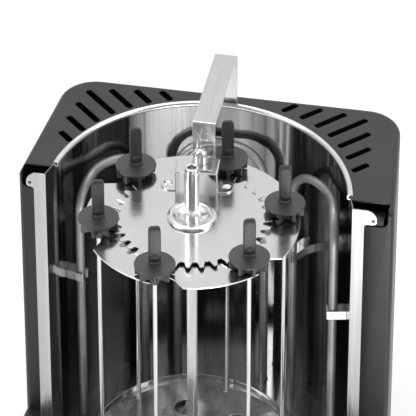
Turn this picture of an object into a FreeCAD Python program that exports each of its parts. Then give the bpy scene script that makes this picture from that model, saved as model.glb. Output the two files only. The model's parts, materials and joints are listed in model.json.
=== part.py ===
"""Vertical skewer rotisserie oven: open-front chamber with a planetary skewer cage.

Plan coordinates in the code are centred on the spindle axis (x to the right, y to the
rear, z up); every node is moved by HUB_Y on export so that the origin is at the middle
of the footprint, on the table.
"""
import FreeCAD, Part
import math
import os

V = FreeCAD.Vector
Z = V(0, 0, 1)

# Overall heights
FOOT_H = 8.0
BASE_TOP = 108.0
FLOOR_Z = 110.0
RIM_Z = 374.0
TOP_Z = RIM_Z - 23.0

# Housing plan
REAR_Y = 186.0
REAR_HALF = 134.5
CORNER_X = 148.5
CORNER_Y = 55.0
REAR_R = 29.0
FACET_Y = -98.0
SHELL_T = 1.2
CORNER_R = 3.5
BASE_T = 2.5

# Reflector
REF_Y = 25.8
REF_R = 116.7
REF_T = 0.8
BEAD_R = 2.3
BEAD_T = 0.7
FLARE_A = 8.0
FLARE_X = 120.4

# Planetary gear
SUN_TEETH = 36
PIN_TEETH = 8
SUN_PITCH = 58.5
PIN_PITCH = 13.0
SUN_TIP = 61.3
SUN_ROOT = 55.0
PIN_TIP = 15.2
PIN_ROOT = 9.6
CARRY_R = SUN_PITCH + PIN_PITCH
SKEWER_COUNT = 6
SKEWER_A0 = 17.8

# Stack heights of the cage
FLANGE_TOP = RIM_Z + 1.7
SUN_TOP = FLANGE_TOP - 7.4
PLATE_T = 1.2
SUN_BOTTOM = SUN_TOP - PLATE_T
CARRIER_TOP = SUN_BOTTOM - 2.0
CARRIER_BOTTOM = CARRIER_TOP - PLATE_T
CARRIER_R = 82.5
PINION_Z = FLANGE_TOP - 9.4
NECK_Z = FLANGE_TOP - 19.0
BLADE_TOP = FLANGE_TOP + 35.0
TUBE_TOP = SUN_TOP + 48.0
DISC_Z = 140.0
SADDLE_H = 18.6
ARM_TOP = FLANGE_TOP + 45.0
ARM_FALL = 3.0

# Running clearance of journals, and the gap kept between other moving faces
RUN = 0.05
GAP = 0.3

# Heating tubes
HEAT_R = 3.5
HEAT_RING = 105.0
HEAT_BEND = 24.0
HEAT_TOP = FLANGE_TOP - 36.0
HEAT_SPANS = (("left", 125.0, 163.0), ("rear", 70.5, 110.0), ("right", 11.0, 55.0))

# Control knob
KNOB_X = 0.0
KNOB_Z = 50.0
KNOB_R = 21.0
KNOB_FRONT = FACET_Y - 22.0

HUB_Y = -(KNOB_FRONT + REAR_Y + 2.0) / 2

NODES = {}


def add(name, shape):
    """Store one node, moved from the spindle frame to the footprint frame."""
    moved = shape.removeSplitter()
    moved.translate(V(0, HUB_Y, 0))
    NODES[name] = moved


def box(x0, x1, y0, y1, z0, z1):
    return Part.makeBox(x1 - x0, y1 - y0, z1 - z0, V(x0, y0, z0))


def cyl(r, z0, z1, x=0.0, y=0.0):
    return Part.makeCylinder(r, z1 - z0, V(x, y, z0), Z)


def tube(r_out, r_in, z0, z1, x=0.0, y=0.0):
    return cyl(r_out, z0, z1, x, y).cut(cyl(r_in, z0 - 1, z1 + 1, x, y))


def cyl_y(r, y0, y1, x, z):
    """Cylinder along Y from y0 to y1."""
    return Part.makeCylinder(r, y1 - y0, V(x, y0, z), V(0, 1, 0))


def polar(r, deg, z=0.0, cy=0.0):
    a = math.radians(deg)
    return V(r * math.cos(a), cy + r * math.sin(a), z)


def prism(points, z0, z1):
    wire = Part.makePolygon([V(x, y, z0) for x, y in points + points[:1]])
    return Part.Face(wire).extrude(V(0, 0, z1 - z0))


def union(shapes):
    out = shapes[0]
    for s in shapes[1:]:
        out = out.fuse(s)
    return out


def upright_edges(shape, test):
    """Vertical edges whose middle passes the test."""
    found = []
    for e in shape.Edges:
        a, b = e.Vertexes[0].Point, e.Vertexes[-1].Point
        if abs(a.x - b.x) < 1e-6 and abs(a.y - b.y) < 1e-6 and abs(a.z - b.z) > 0.5:
            if test(a):
                found.append(e)
    return found


def rounded_slab(x0, x1, y0, y1, z0, z1, r):
    slab = box(x0, x1, y0, y1, z0, z1)
    return slab.makeFillet(r, upright_edges(slab, lambda p: True))


def gear(teeth, tip, root, w_root, w_pitch, w_tip, pitch, z0, z1, phase):
    """Spur gear with straight-flanked teeth; phase is the angle of one tooth's middle."""
    pts = []
    for i in range(teeth):
        a = phase + 360.0 * i / teeth
        for r, w in ((root, -w_root), (pitch, -w_pitch), (tip, -w_tip),
                     (tip, w_tip), (pitch, w_pitch), (root, w_root)):
            p = polar(r, a + math.degrees(w / 2 / r))
            pts.append((p.x, p.y))
    return prism(pts, z0, z1)


# ---------------------------------------------------------------- housing outline
def housing_plan(inset, with_front):
    """Plan of the housing as a closed wire of sides, rounded rear corners and front."""
    rear = REAR_Y - inset
    half = REAR_HALF - inset
    side = CORNER_X - inset
    r = REAR_R - inset
    lean = math.atan2(CORNER_X - REAR_HALF, REAR_Y - CORNER_Y)
    # centre of the right rear corner arc, tangent to the rear and to the leaning side
    cx = half - r / math.cos(lean) + r * math.tan(lean)
    cy = rear - r
    tan_pt = V(cx + r * math.cos(lean), cy + r * math.sin(lean), 0)
    mid_pt = polar(r, (math.degrees(lean) + 90) / 2)
    mid_pt = V(cx + mid_pt.x, cy + mid_pt.y, 0)
    edges = []

    def mirror(p):
        return V(-p.x, p.y, p.z)

    front = CORNER_Y if with_front else CORNER_Y + inset
    side_front = V(side, front, 0)
    top_pt = V(cx, rear, 0)
    edges.append(Part.makeLine(side_front, tan_pt))
    edges.append(Part.Arc(tan_pt, mid_pt, top_pt).toShape())
    edges.append(Part.makeLine(top_pt, mirror(top_pt)))
    edges.append(Part.Arc(mirror(top_pt), mirror(mid_pt), mirror(tan_pt)).toShape())
    edges.append(Part.makeLine(mirror(tan_pt), mirror(side_front)))
    if with_front:
        facet = FACET_Y + inset
        front_c = 39.7
        front_r = side + 0.7
        half_f = math.sqrt(front_r ** 2 - (facet - front_c) ** 2)
        mid = polar(front_r, -35.0, 0, front_c)
        corner = V(half_f, facet, 0)
        edges.append(Part.Arc(mirror(side_front), mirror(mid), mirror(corner)).toShape())
        edges.append(Part.makeLine(mirror(corner), corner))
        edges.append(Part.Arc(corner, mid, side_front).toShape())
    else:
        edges.append(Part.makeLine(mirror(side_front), side_front))
    return Part.Wire(Part.__sortEdges__(edges))


def housing_solid(inset, with_front, z0, z1):
    face = Part.Face(housing_plan(inset, with_front))
    face.translate(V(0, 0, z0))
    return face.extrude(V(0, 0, z1 - z0))


# ---------------------------------------------------------------- base
def base_housing():
    body = housing_solid(0, True, FOOT_H, BASE_TOP)
    rim = [e for e in body.Edges if abs(e.BoundBox.ZMin - BASE_TOP) < 1e-4
           and e.BoundBox.YMax < CORNER_Y + 0.1]
    body = body.makeFillet(3.0, rim)
    body = body.cut(housing_solid(BASE_T, True, FOOT_H - 1, BASE_TOP - BASE_T))
    body = body.cut(cyl(12.0, BASE_TOP - 5, BASE_TOP + 1))
    body = body.cut(cyl_y(5.0, FACET_Y - 1, FACET_Y + 4, KNOB_X, KNOB_Z))
    body = body.cut(box(-46.0, -30.0, FACET_Y - 1, FACET_Y + 4, 38.0, 62.0))
    body = body.cut(cyl_y(4.1, FACET_Y - 1, FACET_Y + 4, 38.0, KNOB_Z))
    for _, a0, a1 in HEAT_SPANS:
        for a in (a0, a1):
            p = polar(HEAT_RING, a, 0, REF_Y)
            body = body.cut(cyl(HEAT_R + 0.6, BASE_TOP - 5, BASE_TOP + 1, p.x, p.y))
    body = body.cut(cyl_y(6.6, REAR_Y - 4, REAR_Y + 1, 95.0, 34.0))
    for i in range(9):
        x = -60.0 + 15.0 * i
        body = body.cut(rounded_slab(x - 2.5, x + 2.5, REAR_Y - 5, REAR_Y + 1, 60.0, 92.0, 2.4))
    return body


def base_plate():
    plate = housing_solid(BASE_T + 0.4, True, FOOT_H, FOOT_H + 2.0)
    for i in range(7):
        for x in (-75.0, 75.0):
            y = 20.0 + 12.0 * i
            plate = plate.cut(rounded_slab(x - 22, x + 22, y - 2, y + 2, FOOT_H - 1, FOOT_H + 3, 1.9))
    for x, y in FEET:
        plate = plate.cut(cyl(3.0, FOOT_H - 1, FOOT_H + 3, x, y))
    return plate


FEET = ((-100.0, -10.0), (100.0, -10.0), (-105.0, 150.0), (105.0, 150.0))


def foot(x, y):
    pad = Part.makeCone(10.0, 12.0, FOOT_H, V(x, y, 0), Z)
    return pad.fuse(cyl(2.9, FOOT_H, FOOT_H + 5, x, y)).fuse(cyl(4.5, FOOT_H + 2.0, FOOT_H + 4.5, x, y))


# ---------------------------------------------------------------- controls
def control_panel():
    y1 = FACET_Y
    y0 = FACET_Y - 1.2
    plate = box(-52.0, 52.0, y0, y1, 16.0, 84.0)
    edges = [e for e in plate.Edges if e.BoundBox.YLength > 1.0]
    plate = plate.makeFillet(6.0, edges)
    plate = plate.cut(cyl_y(5.0, y0 - 1, y1 + 1, KNOB_X, KNOB_Z))
    plate = plate.cut(box(-46.0, -30.0, y0 - 1, y1 + 1, 38.0, 62.0))
    return plate.cut(cyl_y(4.1, y0 - 1, y1 + 1, 38.0, KNOB_Z))


def timer_knob():
    back = FACET_Y - 1.2 - 0.5
    skirt = cyl_y(KNOB_R, back - 4.0, back, KNOB_X, KNOB_Z)
    drum = Part.makeCone(15.0, 17.0, back - 4.0 - KNOB_FRONT, V(KNOB_X, KNOB_FRONT, KNOB_Z), V(0, 1, 0))
    bar = box(KNOB_X - 4, KNOB_X + 4, KNOB_FRONT, back - 4.0, KNOB_Z - 19.0, KNOB_Z + 19.0)
    bar = bar.common(cyl_y(19.0, KNOB_FRONT, back, KNOB_X, KNOB_Z))
    knob = union([skirt, drum, bar])
    for i in range(24):
        p = polar(17.3, 15.0 * i)
        knob = knob.cut(cyl_y(0.9, KNOB_FRONT - 1, back - 4.5, KNOB_X + p.x, KNOB_Z + p.y)) \
            if abs(p.x) > 6 else knob
    return knob.cut(cyl_y(3.0, back - 9, back + 1, KNOB_X, KNOB_Z))


def timer_shaft():
    return cyl_y(2.99, FACET_Y - 10.7, FACET_Y + 12.0, KNOB_X, KNOB_Z)


def timer_unit():
    body = box(KNOB_X - 22, KNOB_X + 22, FACET_Y + 3.5, FACET_Y + 34, KNOB_Z - 24, KNOB_Z + 24)
    neck = cyl_y(4.8, FACET_Y + BASE_T - 2.2, FACET_Y + 3.5, KNOB_X, KNOB_Z)
    bore = cyl_y(3.04, FACET_Y - 2, FACET_Y + 14.0, KNOB_X, KNOB_Z)
    return body.fuse(neck).cut(bore)


def rocker_frame():
    y0 = FACET_Y - 2.8
    rim = box(-47.5, -28.5, y0, FACET_Y - 1.2, 36.5, 63.5)
    sleeve = box(-45.8, -30.2, FACET_Y - 1.2, FACET_Y + 14, 38.2, 61.8)
    hollow = box(-44.0, -32.0, y0 - 1, FACET_Y + 12, 40.0, 60.0)
    pin = Part.makeCylinder(1.2, 13.0, V(-44.5, FACET_Y + 2.5, 50.0), V(1, 0, 0))
    return rim.fuse(sleeve).cut(hollow).fuse(pin)


def power_rocker():
    """Rocker with two slanted finger faces, pivoting on its cross pin."""
    y = FACET_Y
    outline = [(y - 3.6, 58.9), (y - 1.6, 50.0), (y - 3.6, 41.1), (y + 4.5, 42.0),
               (y + 6.5, 50.0), (y + 4.5, 58.0)]
    wire = Part.makePolygon([V(-43.6, a, b) for a, b in outline + outline[:1]])
    body = Part.Face(wire).extrude(V(11.2, 0, 0))
    body = body.cut(Part.makeCylinder(1.25, 14.0, V(-45.0, y + 2.5, 50.0), V(1, 0, 0)))
    return body.rotate(V(-38.0, y + 2.5, 50.0), V(1, 0, 0), -6.0)


def indicator_lamp():
    lens = Part.makeSphere(6.0, V(38.0, FACET_Y + 2.3, KNOB_Z)).common(
        cyl_y(5.2, FACET_Y - 5.0, FACET_Y - 1.2, 38.0, KNOB_Z))
    return lens.fuse(cyl_y(3.9, FACET_Y - 1.2, FACET_Y + 12, 38.0, KNOB_Z))


# ---------------------------------------------------------------- drive
MOTOR_Z = 60.0


def drive_motor():
    can = cyl(27.0, MOTOR_Z, MOTOR_Z + 22.0)
    boss = cyl(6.0, MOTOR_Z + 22.0, MOTOR_Z + 26.0)
    lugs = rounded_slab(-36, 36, -6, 6, MOTOR_Z + 20.8, MOTOR_Z + 22.0, 5.5)
    body = union([can, boss, lugs])
    for x in (-31.5, 31.5):
        body = body.cut(cyl(1.9, MOTOR_Z + 19, MOTOR_Z + 23, x, 0))
    return body.cut(cyl(3.5 + RUN, MOTOR_Z + 12, MOTOR_Z + 27))


def motor_bracket():
    """Two posts that hang the motor's lugs from the underside of the deck."""
    parts = []
    for x in (-31.5, 31.5):
        parts.append(cyl(4.0, MOTOR_Z + 22.0, BASE_TOP - BASE_T, x, 0))
        parts.append(cyl(1.8, MOTOR_Z + 16.0, MOTOR_Z + 22.0, x, 0))
    return Part.makeCompound(parts)


def drive_coupler():
    """Socket on the motor shaft that the square spindle drops into."""
    cup = union([cyl(3.5, MOTOR_Z + 13, MOTOR_Z + 30), cyl(9.5, MOTOR_Z + 30.0, BASE_TOP + 8.0),
                 cyl(11.0, BASE_TOP + 2.6, BASE_TOP + 8.0)])
    return cup.cut(box(-3.55, 3.55, -3.55, 3.55, BASE_TOP - 8.0, BASE_TOP + 9))


# ---------------------------------------------------------------- cage
def spindle():
    bar = box(-3.5, 3.5, -3.5, 3.5, BASE_TOP - 8.0, CARRIER_TOP)
    for s in (-1, 1):
        bar = bar.cut(box(s * 3.5 - 0.7, s * 3.5 + 0.7, -1.4, 1.4, DISC_Z + 20, CARRIER_BOTTOM - 20))
        bar = bar.cut(box(-1.4, 1.4, s * 3.5 - 0.7, s * 3.5 + 0.7, DISC_Z + 20, CARRIER_BOTTOM - 20))
    collar = cyl(6.5, CARRIER_BOTTOM - 3.0, CARRIER_BOTTOM)
    journal = cyl(2.3, CARRIER_TOP, TUBE_TOP - 11.0)
    return union([bar, collar, journal])


def lower_disc():
    disc = cyl(80.0, DISC_Z, DISC_Z + 1.2)
    disc = disc.fuse(tube(80.0, 78.8, DISC_Z, DISC_Z + 6.0))
    disc = disc.cut(cyl(8.0, DISC_Z - 1, DISC_Z + 2))
    for k in range(SKEWER_COUNT):
        p = polar(CARRY_R, SKEWER_A0 + 60 * k)
        disc = disc.cut(cyl(3.2, DISC_Z - 1, DISC_Z + 2, p.x, p.y))
        q = polar(44.0, SKEWER_A0 + 30 + 60 * k)
        disc = disc.cut(cyl(9.0, DISC_Z - 1, DISC_Z + 2, q.x, q.y))
    return disc


def tip_sockets():
    """Ring of six cups under the lower disc in which the skewer points turn."""
    cups = []
    for k in range(SKEWER_COUNT):
        p = polar(CARRY_R, SKEWER_A0 + 60 * k)
        cup = cyl(3.2, DISC_Z - 7.0, DISC_Z + 1.2, p.x, p.y)
        cup = cup.fuse(cyl(4.6, DISC_Z - 7.0, DISC_Z, p.x, p.y))
        cups.append(cup.cut(cyl(1.7 + RUN, DISC_Z - 6.0, DISC_Z + 2, p.x, p.y)))
    return Part.makeCompound(cups)


def disc_hub():
    hub = union([cyl(10.0, DISC_Z - 10.0, DISC_Z), cyl(8.0, DISC_Z, DISC_Z + 8.0)])
    return hub.cut(box(-3.5, 3.5, -3.5, 3.5, DISC_Z - 11, DISC_Z + 9))


NOTCH_R = 4.4


def carrier_disc():
    """Carrier with a notch at each skewer, opening to the rim on one side."""
    disc = cyl(CARRIER_R, CARRIER_BOTTOM, CARRIER_TOP)
    disc = disc.cut(box(-3.5, 3.5, -3.5, 3.5, CARRIER_BOTTOM - 1, CARRIER_TOP + 1))
    for k in range(SKEWER_COUNT):
        a = SKEWER_A0 + 60 * k
        disc = disc.cut(cyl(NOTCH_R, CARRIER_BOTTOM - 1, CARRIER_TOP + 1, CARRY_R, 0)
                        .rotate(V(0, 0, 0), Z, a))
        # the open side: a slanted mouth from the seat to the rim, counter-clockwise of it
        mouth = prism([(CARRY_R - 4.4, 0.0), (CARRY_R, -4.4), (CARRY_R + 22, 5.5),
                       (CARRY_R + 10, 30.0), (CARRY_R + 0.5, 17.0)],
                      CARRIER_BOTTOM - 1, CARRIER_TOP + 1)
        disc = disc.cut(mouth.rotate(V(0, 0, 0), Z, a))
    return disc


def skewer_head(k):
    """Plastic head: blade handle, flange and pinion, with a neck that sits in the notch."""
    flange = cyl(15.7, FLANGE_TOP - 1.6, FLANGE_TOP)
    pinion = gear(PIN_TEETH, PIN_TIP, PIN_ROOT, 4.6, 3.2, 1.7, PIN_PITCH,
                  PINION_Z, FLANGE_TOP - 1.6, 180.0 + 22.5)
    collar = cyl(7.0, CARRIER_TOP + GAP, PINION_Z)
    seat = cyl(NOTCH_R - GAP, CARRIER_BOTTOM - 1.5, CARRIER_TOP + GAP)
    neck = Part.makeCone(2.6, NOTCH_R - GAP, CARRIER_BOTTOM - 1.5 - NECK_Z, V(0, 0, NECK_Z), Z)
    blade = box(-4.8, 4.8, -2.2, 2.2, FLANGE_TOP, BLADE_TOP)
    tops = [e for e in blade.Edges if e.BoundBox.YLength > 3 and e.BoundBox.ZMin > BLADE_TOP - 1]
    blade = blade.makeFillet(3.4, tops)
    boss = cyl(5.0, FLANGE_TOP, FLANGE_TOP + 3.5)
    pip = cyl_y(3.0, -3.4, -2.0, 0, FLANGE_TOP + 7.0)
    blade = union([blade, boss, pip])
    blade.rotate(V(0, 0, 0), Z, 12.0 - SKEWER_A0 - 60 * k + 4.0 * (k % 3))
    head = union([flange, pinion, collar, seat, neck, blade])
    head = head.cut(cyl(1.7, NECK_Z - 1, FLANGE_TOP + 5))
    head.translate(V(CARRY_R, 0, 0))
    return head.rotate(V(0, 0, 0), Z, SKEWER_A0 + 60 * k)


def skewer_rod(k):
    """Round steel rod with a pointed lower end."""
    rod = cyl(1.7, DISC_Z - 2.0, FLANGE_TOP + 5)
    point = Part.makeCone(0.4, 1.7, 3.5, V(0, 0, DISC_Z - 5.5), Z)
    rod = rod.fuse(point)
    p = polar(CARRY_R, SKEWER_A0 + 60 * k)
    rod.translate(V(p.x, p.y, 0))
    return rod


# ---------------------------------------------------------------- fixed sun gear and its hub
SADDLE_C = (-3.5, 43.0)
SADDLE_TURN = 4.3


def sun_gear():
    wheel = gear(SUN_TEETH, SUN_TIP, SUN_ROOT, 6.4, 4.4, 2.6, SUN_PITCH,
                 SUN_BOTTOM, SUN_TOP, SKEWER_A0)
    wheel = wheel.cut(cyl(7.0, SUN_BOTTOM - 1, SUN_TOP + 1))
    for p in rivet_points():
        wheel = wheel.cut(cyl(2.0, SUN_BOTTOM - 1, SUN_TOP + 1, p.x, p.y))
    return wheel


def hub_tube():
    """Bearing tube of the sun gear, standing in a round foot with a sunken well."""
    foot_ring = cyl(19.0, SUN_TOP, SUN_TOP + 3.0)
    rim = [e for e in foot_ring.Edges if e.BoundBox.ZMin > SUN_TOP + 2]
    foot_ring = foot_ring.makeFillet(1.2, rim)
    well = Part.makeCone(11.5, 14.0, 1.9, V(0, 0, SUN_TOP + 1.2), Z)
    foot_ring = foot_ring.cut(well)
    stem = cyl(5.9, SUN_TOP, TUBE_TOP - 5.0)
    tip = Part.makeCone(5.9, 5.2, 1.0, V(0, 0, TUBE_TOP - 5.0), Z)
    top = cyl(5.2, TUBE_TOP - 4.0, TUBE_TOP)
    spigot = cyl(6.9, SUN_BOTTOM, SUN_TOP)
    body = union([foot_ring, stem, tip, top, spigot])
    for i in range(3):
        web = box(5.0, 13.6, -0.9, 0.9, SUN_TOP + 1.0, SUN_TOP + 2.6)
        body = body.fuse(web.rotate(V(0, 0, 0), Z, 30 + 120 * i))
    body = body.cut(cyl(2.3 + RUN, SUN_BOTTOM - 1, TUBE_TOP + 1))
    return body.cut(cyl(3.2, TUBE_TOP - 10.0, TUBE_TOP + 1))


def rivet_points():
    a = math.radians(SADDLE_TURN)
    return [V(SADDLE_C[0] + s * 22.5 * math.cos(a) + 3.0 * math.sin(a),
              SADDLE_C[1] + s * 22.5 * math.sin(a) - 3.0 * math.cos(a), 0) for s in (-1, 1)]


def place_saddle(shape):
    shape.rotate(V(0, 0, 0), Z, SADDLE_TURN)
    shape.translate(V(SADDLE_C[0], SADDLE_C[1], SUN_TOP))
    return shape


def saddle():
    """Bent sheet bridge on the sun gear: platform, two walls and two riveted ears."""
    t = 1.2
    hat = box(-16.6, 16.6, -12.0, 8.3, 0, SADDLE_H)
    tops = [e for e in hat.Edges if e.BoundBox.YLength > 5 and e.BoundBox.ZMin > 5]
    hat = hat.makeFillet(2.0, tops)
    hat = hat.cut(box(-16.6 + t, 16.6 - t, -13, 11, -1, SADDLE_H - t))
    ears = []
    for s in (-1, 1):
        ear = box(15.4, 28.0, -12.0, 5.0, 0, t)
        ear = ear.makeFillet(8.0, upright_edges(ear, lambda p: p.x > 20))
        ears.append(ear if s > 0 else ear.mirror(V(0, 0, 0), V(1, 0, 0)))
    body = union([hat] + ears)
    for s in (-1, 1):
        body = body.cut(cyl(2.0, -1, t + 1, s * 22.5, -3.0))
    return place_saddle(body)


def saddle_rivets():
    parts = []
    for p in rivet_points():
        shank = cyl(2.0, SUN_BOTTOM, SUN_TOP + 1.2, p.x, p.y)
        head = Part.makeSphere(5.2, V(p.x, p.y, SUN_TOP + 1.2 - 3.6)).common(
            cyl(3.8, SUN_TOP + 1.2, SUN_TOP + 4, p.x, p.y))
        foot_head = cyl(2.9, SUN_BOTTOM - 0.7, SUN_BOTTOM, p.x, p.y)
        parts.append(union([shank, head, foot_head]))
    return Part.makeCompound(parts)


PEG_R = 5.5
PEG_Y = 43.0
PEG_X = -1.5


def locating_peg():
    """Domed peg on the saddle that the arm's foot drops over."""
    z = SUN_TOP + SADDLE_H
    stem = cyl(PEG_R, z, z + 9.5, PEG_X, PEG_Y)
    dome = Part.makeSphere(PEG_R, V(PEG_X, PEG_Y, z + 9.5))
    return stem.fuse(dome.cut(box(-20, 20, 20, 70, z - 5, z + 9.5)))


# ---------------------------------------------------------------- arm
ARM_W = 18.0
ARM_T = 1.6
LEG_Y = 52.0
POST_Y = 145.2


def arm():
    """Flat strip bent from the rear post over the rim to the front leg and its foot."""
    z_foot = SUN_TOP + SADDLE_H + GAP
    x0, x1 = -ARM_W / 2, ARM_W / 2
    outer = [(34.0, z_foot), (34.0, z_foot + ARM_T), (LEG_Y - ARM_T, z_foot + ARM_T),
             (LEG_Y - ARM_T, ARM_TOP), (POST_Y + ARM_T, ARM_TOP - ARM_FALL),
             (POST_Y + ARM_T, TOP_Z - 56.7), (POST_Y, TOP_Z - 56.7),
             (POST_Y, ARM_TOP - ARM_FALL - ARM_T), (LEG_Y, ARM_TOP - ARM_T),
             (LEG_Y, z_foot)]
    wire = Part.makePolygon([V(x0, y, z) for y, z in outer + outer[:1]])
    strip = Part.Face(wire).extrude(V(ARM_W, 0, 0))
    bends = []
    for e in strip.Edges:
        if e.BoundBox.XLength > 10:
            p = e.CenterOfMass
            if p.z > ARM_TOP - ARM_FALL - 0.1 and abs(p.z - ARM_TOP + ARM_T) > 0.2:
                bends.append(e)
    strip = strip.makeFillet(1.5, bends)
    slope = math.degrees(math.atan2(ARM_FALL, POST_Y - LEG_Y + 2 * ARM_T))
    beam_rib = box(-1.4, 1.4, 8.0, POST_Y - LEG_Y - 8.0, -0.3, 0.7)
    beam_rib.rotate(V(0, 0, 0), V(1, 0, 0), -slope)
    beam_rib.translate(V(0, LEG_Y - ARM_T, ARM_TOP))
    leg_rib = box(-1.6, 1.6, LEG_Y - ARM_T - 0.8, LEG_Y - ARM_T + 0.2, ARM_TOP - 14, ARM_TOP - 4)
    emboss = cyl_y(3.4, LEG_Y - ARM_T - 0.8, LEG_Y - ARM_T + 0.2, 0.5, ARM_TOP - 12)
    strip = union([strip, beam_rib, leg_rib, emboss])
    window = box(-3.5, 7.2, LEG_Y - 5, LEG_Y + 1, ARM_TOP - 31, ARM_TOP - 17)
    strip = strip.cut(window)
    return strip.cut(cyl(PEG_R + GAP, z_foot - 1, z_foot + 3, PEG_X, PEG_Y))


def arm_socket():
    """Channel behind the reflector that guides the arm's post."""
    y0 = POST_Y - 1.3
    body = box(-13.0, 13.0, y0, POST_Y + ARM_T + 2.0, TOP_Z - 60.0, TOP_Z - SHELL_T)
    body = body.cut(box(-ARM_W / 2 - GAP, ARM_W / 2 + GAP, POST_Y - GAP, POST_Y + ARM_T + GAP,
                        TOP_Z - 57.0, TOP_Z + 1))
    return body


# ---------------------------------------------------------------- reflector
def flare(s):
    """Flat piece that leads the mirror's edge outwards to the front flange."""
    end = REF_R * math.sin(math.radians(FLARE_A))
    x_out = REF_R * math.cos(math.radians(FLARE_A))
    x_in = math.sqrt((REF_R - REF_T) ** 2 - end ** 2)
    piece = prism([(x_out, REF_Y + end), (FLARE_X, REF_Y), (FLARE_X - REF_T, REF_Y), (x_in, REF_Y + end)],
                  FLOOR_Z, RIM_Z)
    return piece if s > 0 else piece.mirror(V(0, 0, 0), V(1, 0, 0))


def reflector():
    """Curved mirror sheet, open to the front, with a flared edge on each side."""
    outer = cyl(REF_R, FLOOR_Z, RIM_Z - BEAD_R, 0, REF_Y)
    inner = cyl(REF_R - REF_T, FLOOR_Z - 1, RIM_Z, 0, REF_Y)
    end = REF_Y + REF_R * math.sin(math.radians(FLARE_A))
    sheet = outer.cut(inner).cut(box(-130, 130, REF_Y - 130, end, FLOOR_Z - 1, RIM_Z + 1))
    return union([sheet, flare(-1), flare(1)])


def rim_bead():
    """Hollow rolled bead along the sheet's top edge, its ends left open."""
    path_r = REF_R - REF_T / 2
    start = polar(path_r, FLARE_A, RIM_Z - BEAD_R, REF_Y)
    mid = V(0, REF_Y + path_r, RIM_Z - BEAD_R)
    end = polar(path_r, 180.0 - FLARE_A, RIM_Z - BEAD_R, REF_Y)
    path = Part.Wire(Part.Arc(start, mid, end).toShape())
    a = math.radians(FLARE_A)
    tangent = V(-math.sin(a), math.cos(a), 0)
    solid = Part.Wire(Part.makeCircle(BEAD_R, start, tangent))
    core = Part.Wire(Part.makeCircle(BEAD_R - BEAD_T, start, tangent))
    ring = path.makePipeShell([solid], True, True).cut(path.makePipeShell([core], True, True))
    return ring.cut(tube(REF_R, REF_R - REF_T, RIM_Z - 9, RIM_Z - BEAD_R, 0, REF_Y))


EAR_OUT = (14.6, 18.4)


def front_strip(s):
    """Front flange of the reflector with a rounded ear at its top, the right ear the longer one."""
    y0 = REF_Y - 1.0
    ear_x = FLARE_X + (EAR_OUT[0] if s < 0 else EAR_OUT[1])
    strip = box(FLARE_X - REF_T, FLARE_X + 8.6, y0, REF_Y, FLOOR_Z, RIM_Z)
    ear = box(FLARE_X, ear_x, y0, REF_Y, RIM_Z - 13.5, RIM_Z)

    def corner(shape, x, z):
        return [e for e in shape.Edges if abs(e.BoundBox.XMin - x) < 0.01 and e.BoundBox.XLength < 0.01
                and abs(e.BoundBox.ZMin - z) < 0.01 and e.BoundBox.ZLength < 0.01]

    ear = ear.makeFillet(9.0, corner(ear, ear_x, RIM_Z))
    ear = ear.makeFillet(3.0, corner(ear, ear_x, RIM_Z - 13.5))
    body = strip.fuse(ear)
    body = body.makeFillet(2.5, corner(body, FLARE_X + 8.6, RIM_Z - 13.5))
    body = body.cut(cyl_y(1.3, y0 - 1, REF_Y + 1, ear_x - 2.9, RIM_Z - 9.6))
    return body if s > 0 else body.mirror(V(0, 0, 0), V(1, 0, 0))


# ---------------------------------------------------------------- outer housing
NOTCH_Y = 66.0
NOTCH_X0 = 112.0
NOTCH_X1 = (145.8, 143.5)
NOTCH_DROP = 15.6
TOP_BEND = 5.0
VENT_COUNT = 9


def corner_notch(s):
    """Rounded pocket cut through the top and front of a front corner, the left one a little wider."""
    x1 = NOTCH_X1[0] if s < 0 else NOTCH_X1[1]
    pocket = box(NOTCH_X0, x1, CORNER_Y - 40, NOTCH_Y, TOP_Z - NOTCH_DROP, TOP_Z + 5)
    outer = [e for e in pocket.Edges if e.BoundBox.YLength > 20 and e.BoundBox.XMin > NOTCH_X0 + 5
             and e.BoundBox.ZMax < TOP_Z]
    pocket = pocket.makeFillet(6.0, outer)
    return pocket if s > 0 else pocket.mirror(V(0, 0, 0), V(1, 0, 0))


def wrap_solid(inset, z_top):
    """Solid of the housing above the base, its front corners and top edge rounded."""
    body = housing_solid(inset, False, BASE_TOP - inset, z_top)
    corners = upright_edges(body, lambda p: abs(p.y - CORNER_Y - inset) < 0.5)
    body = body.makeFillet(CORNER_R - inset, corners)
    rim = [e for e in body.Edges if abs(e.BoundBox.ZMin - z_top) < 1e-4]
    return body.makeFillet(TOP_BEND - inset, rim)


def housing_shell():
    """Black wrap: two sides, rear and the two narrow front panels."""
    body = wrap_solid(0, TOP_Z).cut(wrap_solid(SHELL_T, TOP_Z - SHELL_T))
    body = body.cut(housing_solid(TOP_BEND, False, TOP_Z - 8, TOP_Z + 1))
    body = body.cut(box(-118.5, 118.5, CORNER_Y - 5, CORNER_Y + 5.5, BASE_TOP - 1, TOP_Z + 1))
    for s in (-1, 1):
        body = body.cut(corner_notch(s))
    for i in range(VENT_COUNT):
        x = (i - (VENT_COUNT - 1) / 2) * 16.0
        body = body.cut(rounded_slab(x - 2.5, x + 2.5, REAR_Y - 5, REAR_Y + 1, 262.0, 300.0, 1.9))
    return body


SLOT_LEN = (15.0, 21.5, 30.0, 38.0, 31.0, 23.5, 16.0)
SLOT_MID = ((103.4, 155.6), (95.6, 157.3))
SLOT_PITCH = 15.9


def corner_slot(i, mid):
    """One slot of a rear corner: it runs diagonally, and the row bows towards the corner."""
    n = abs(i - 3)
    half = SLOT_LEN[i] / 2
    slot = rounded_slab(-half, half, -2.8, 2.8, TOP_Z - 5, TOP_Z + 1, 2.2)
    slot.translate(V(-4.2 * n - 1.1 * n * n, -SLOT_PITCH * (i - 3), 0))
    slot.rotate(V(0, 0, 0), Z, 45.0)
    slot.translate(V(mid[0], mid[1], 0))
    return slot


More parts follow.
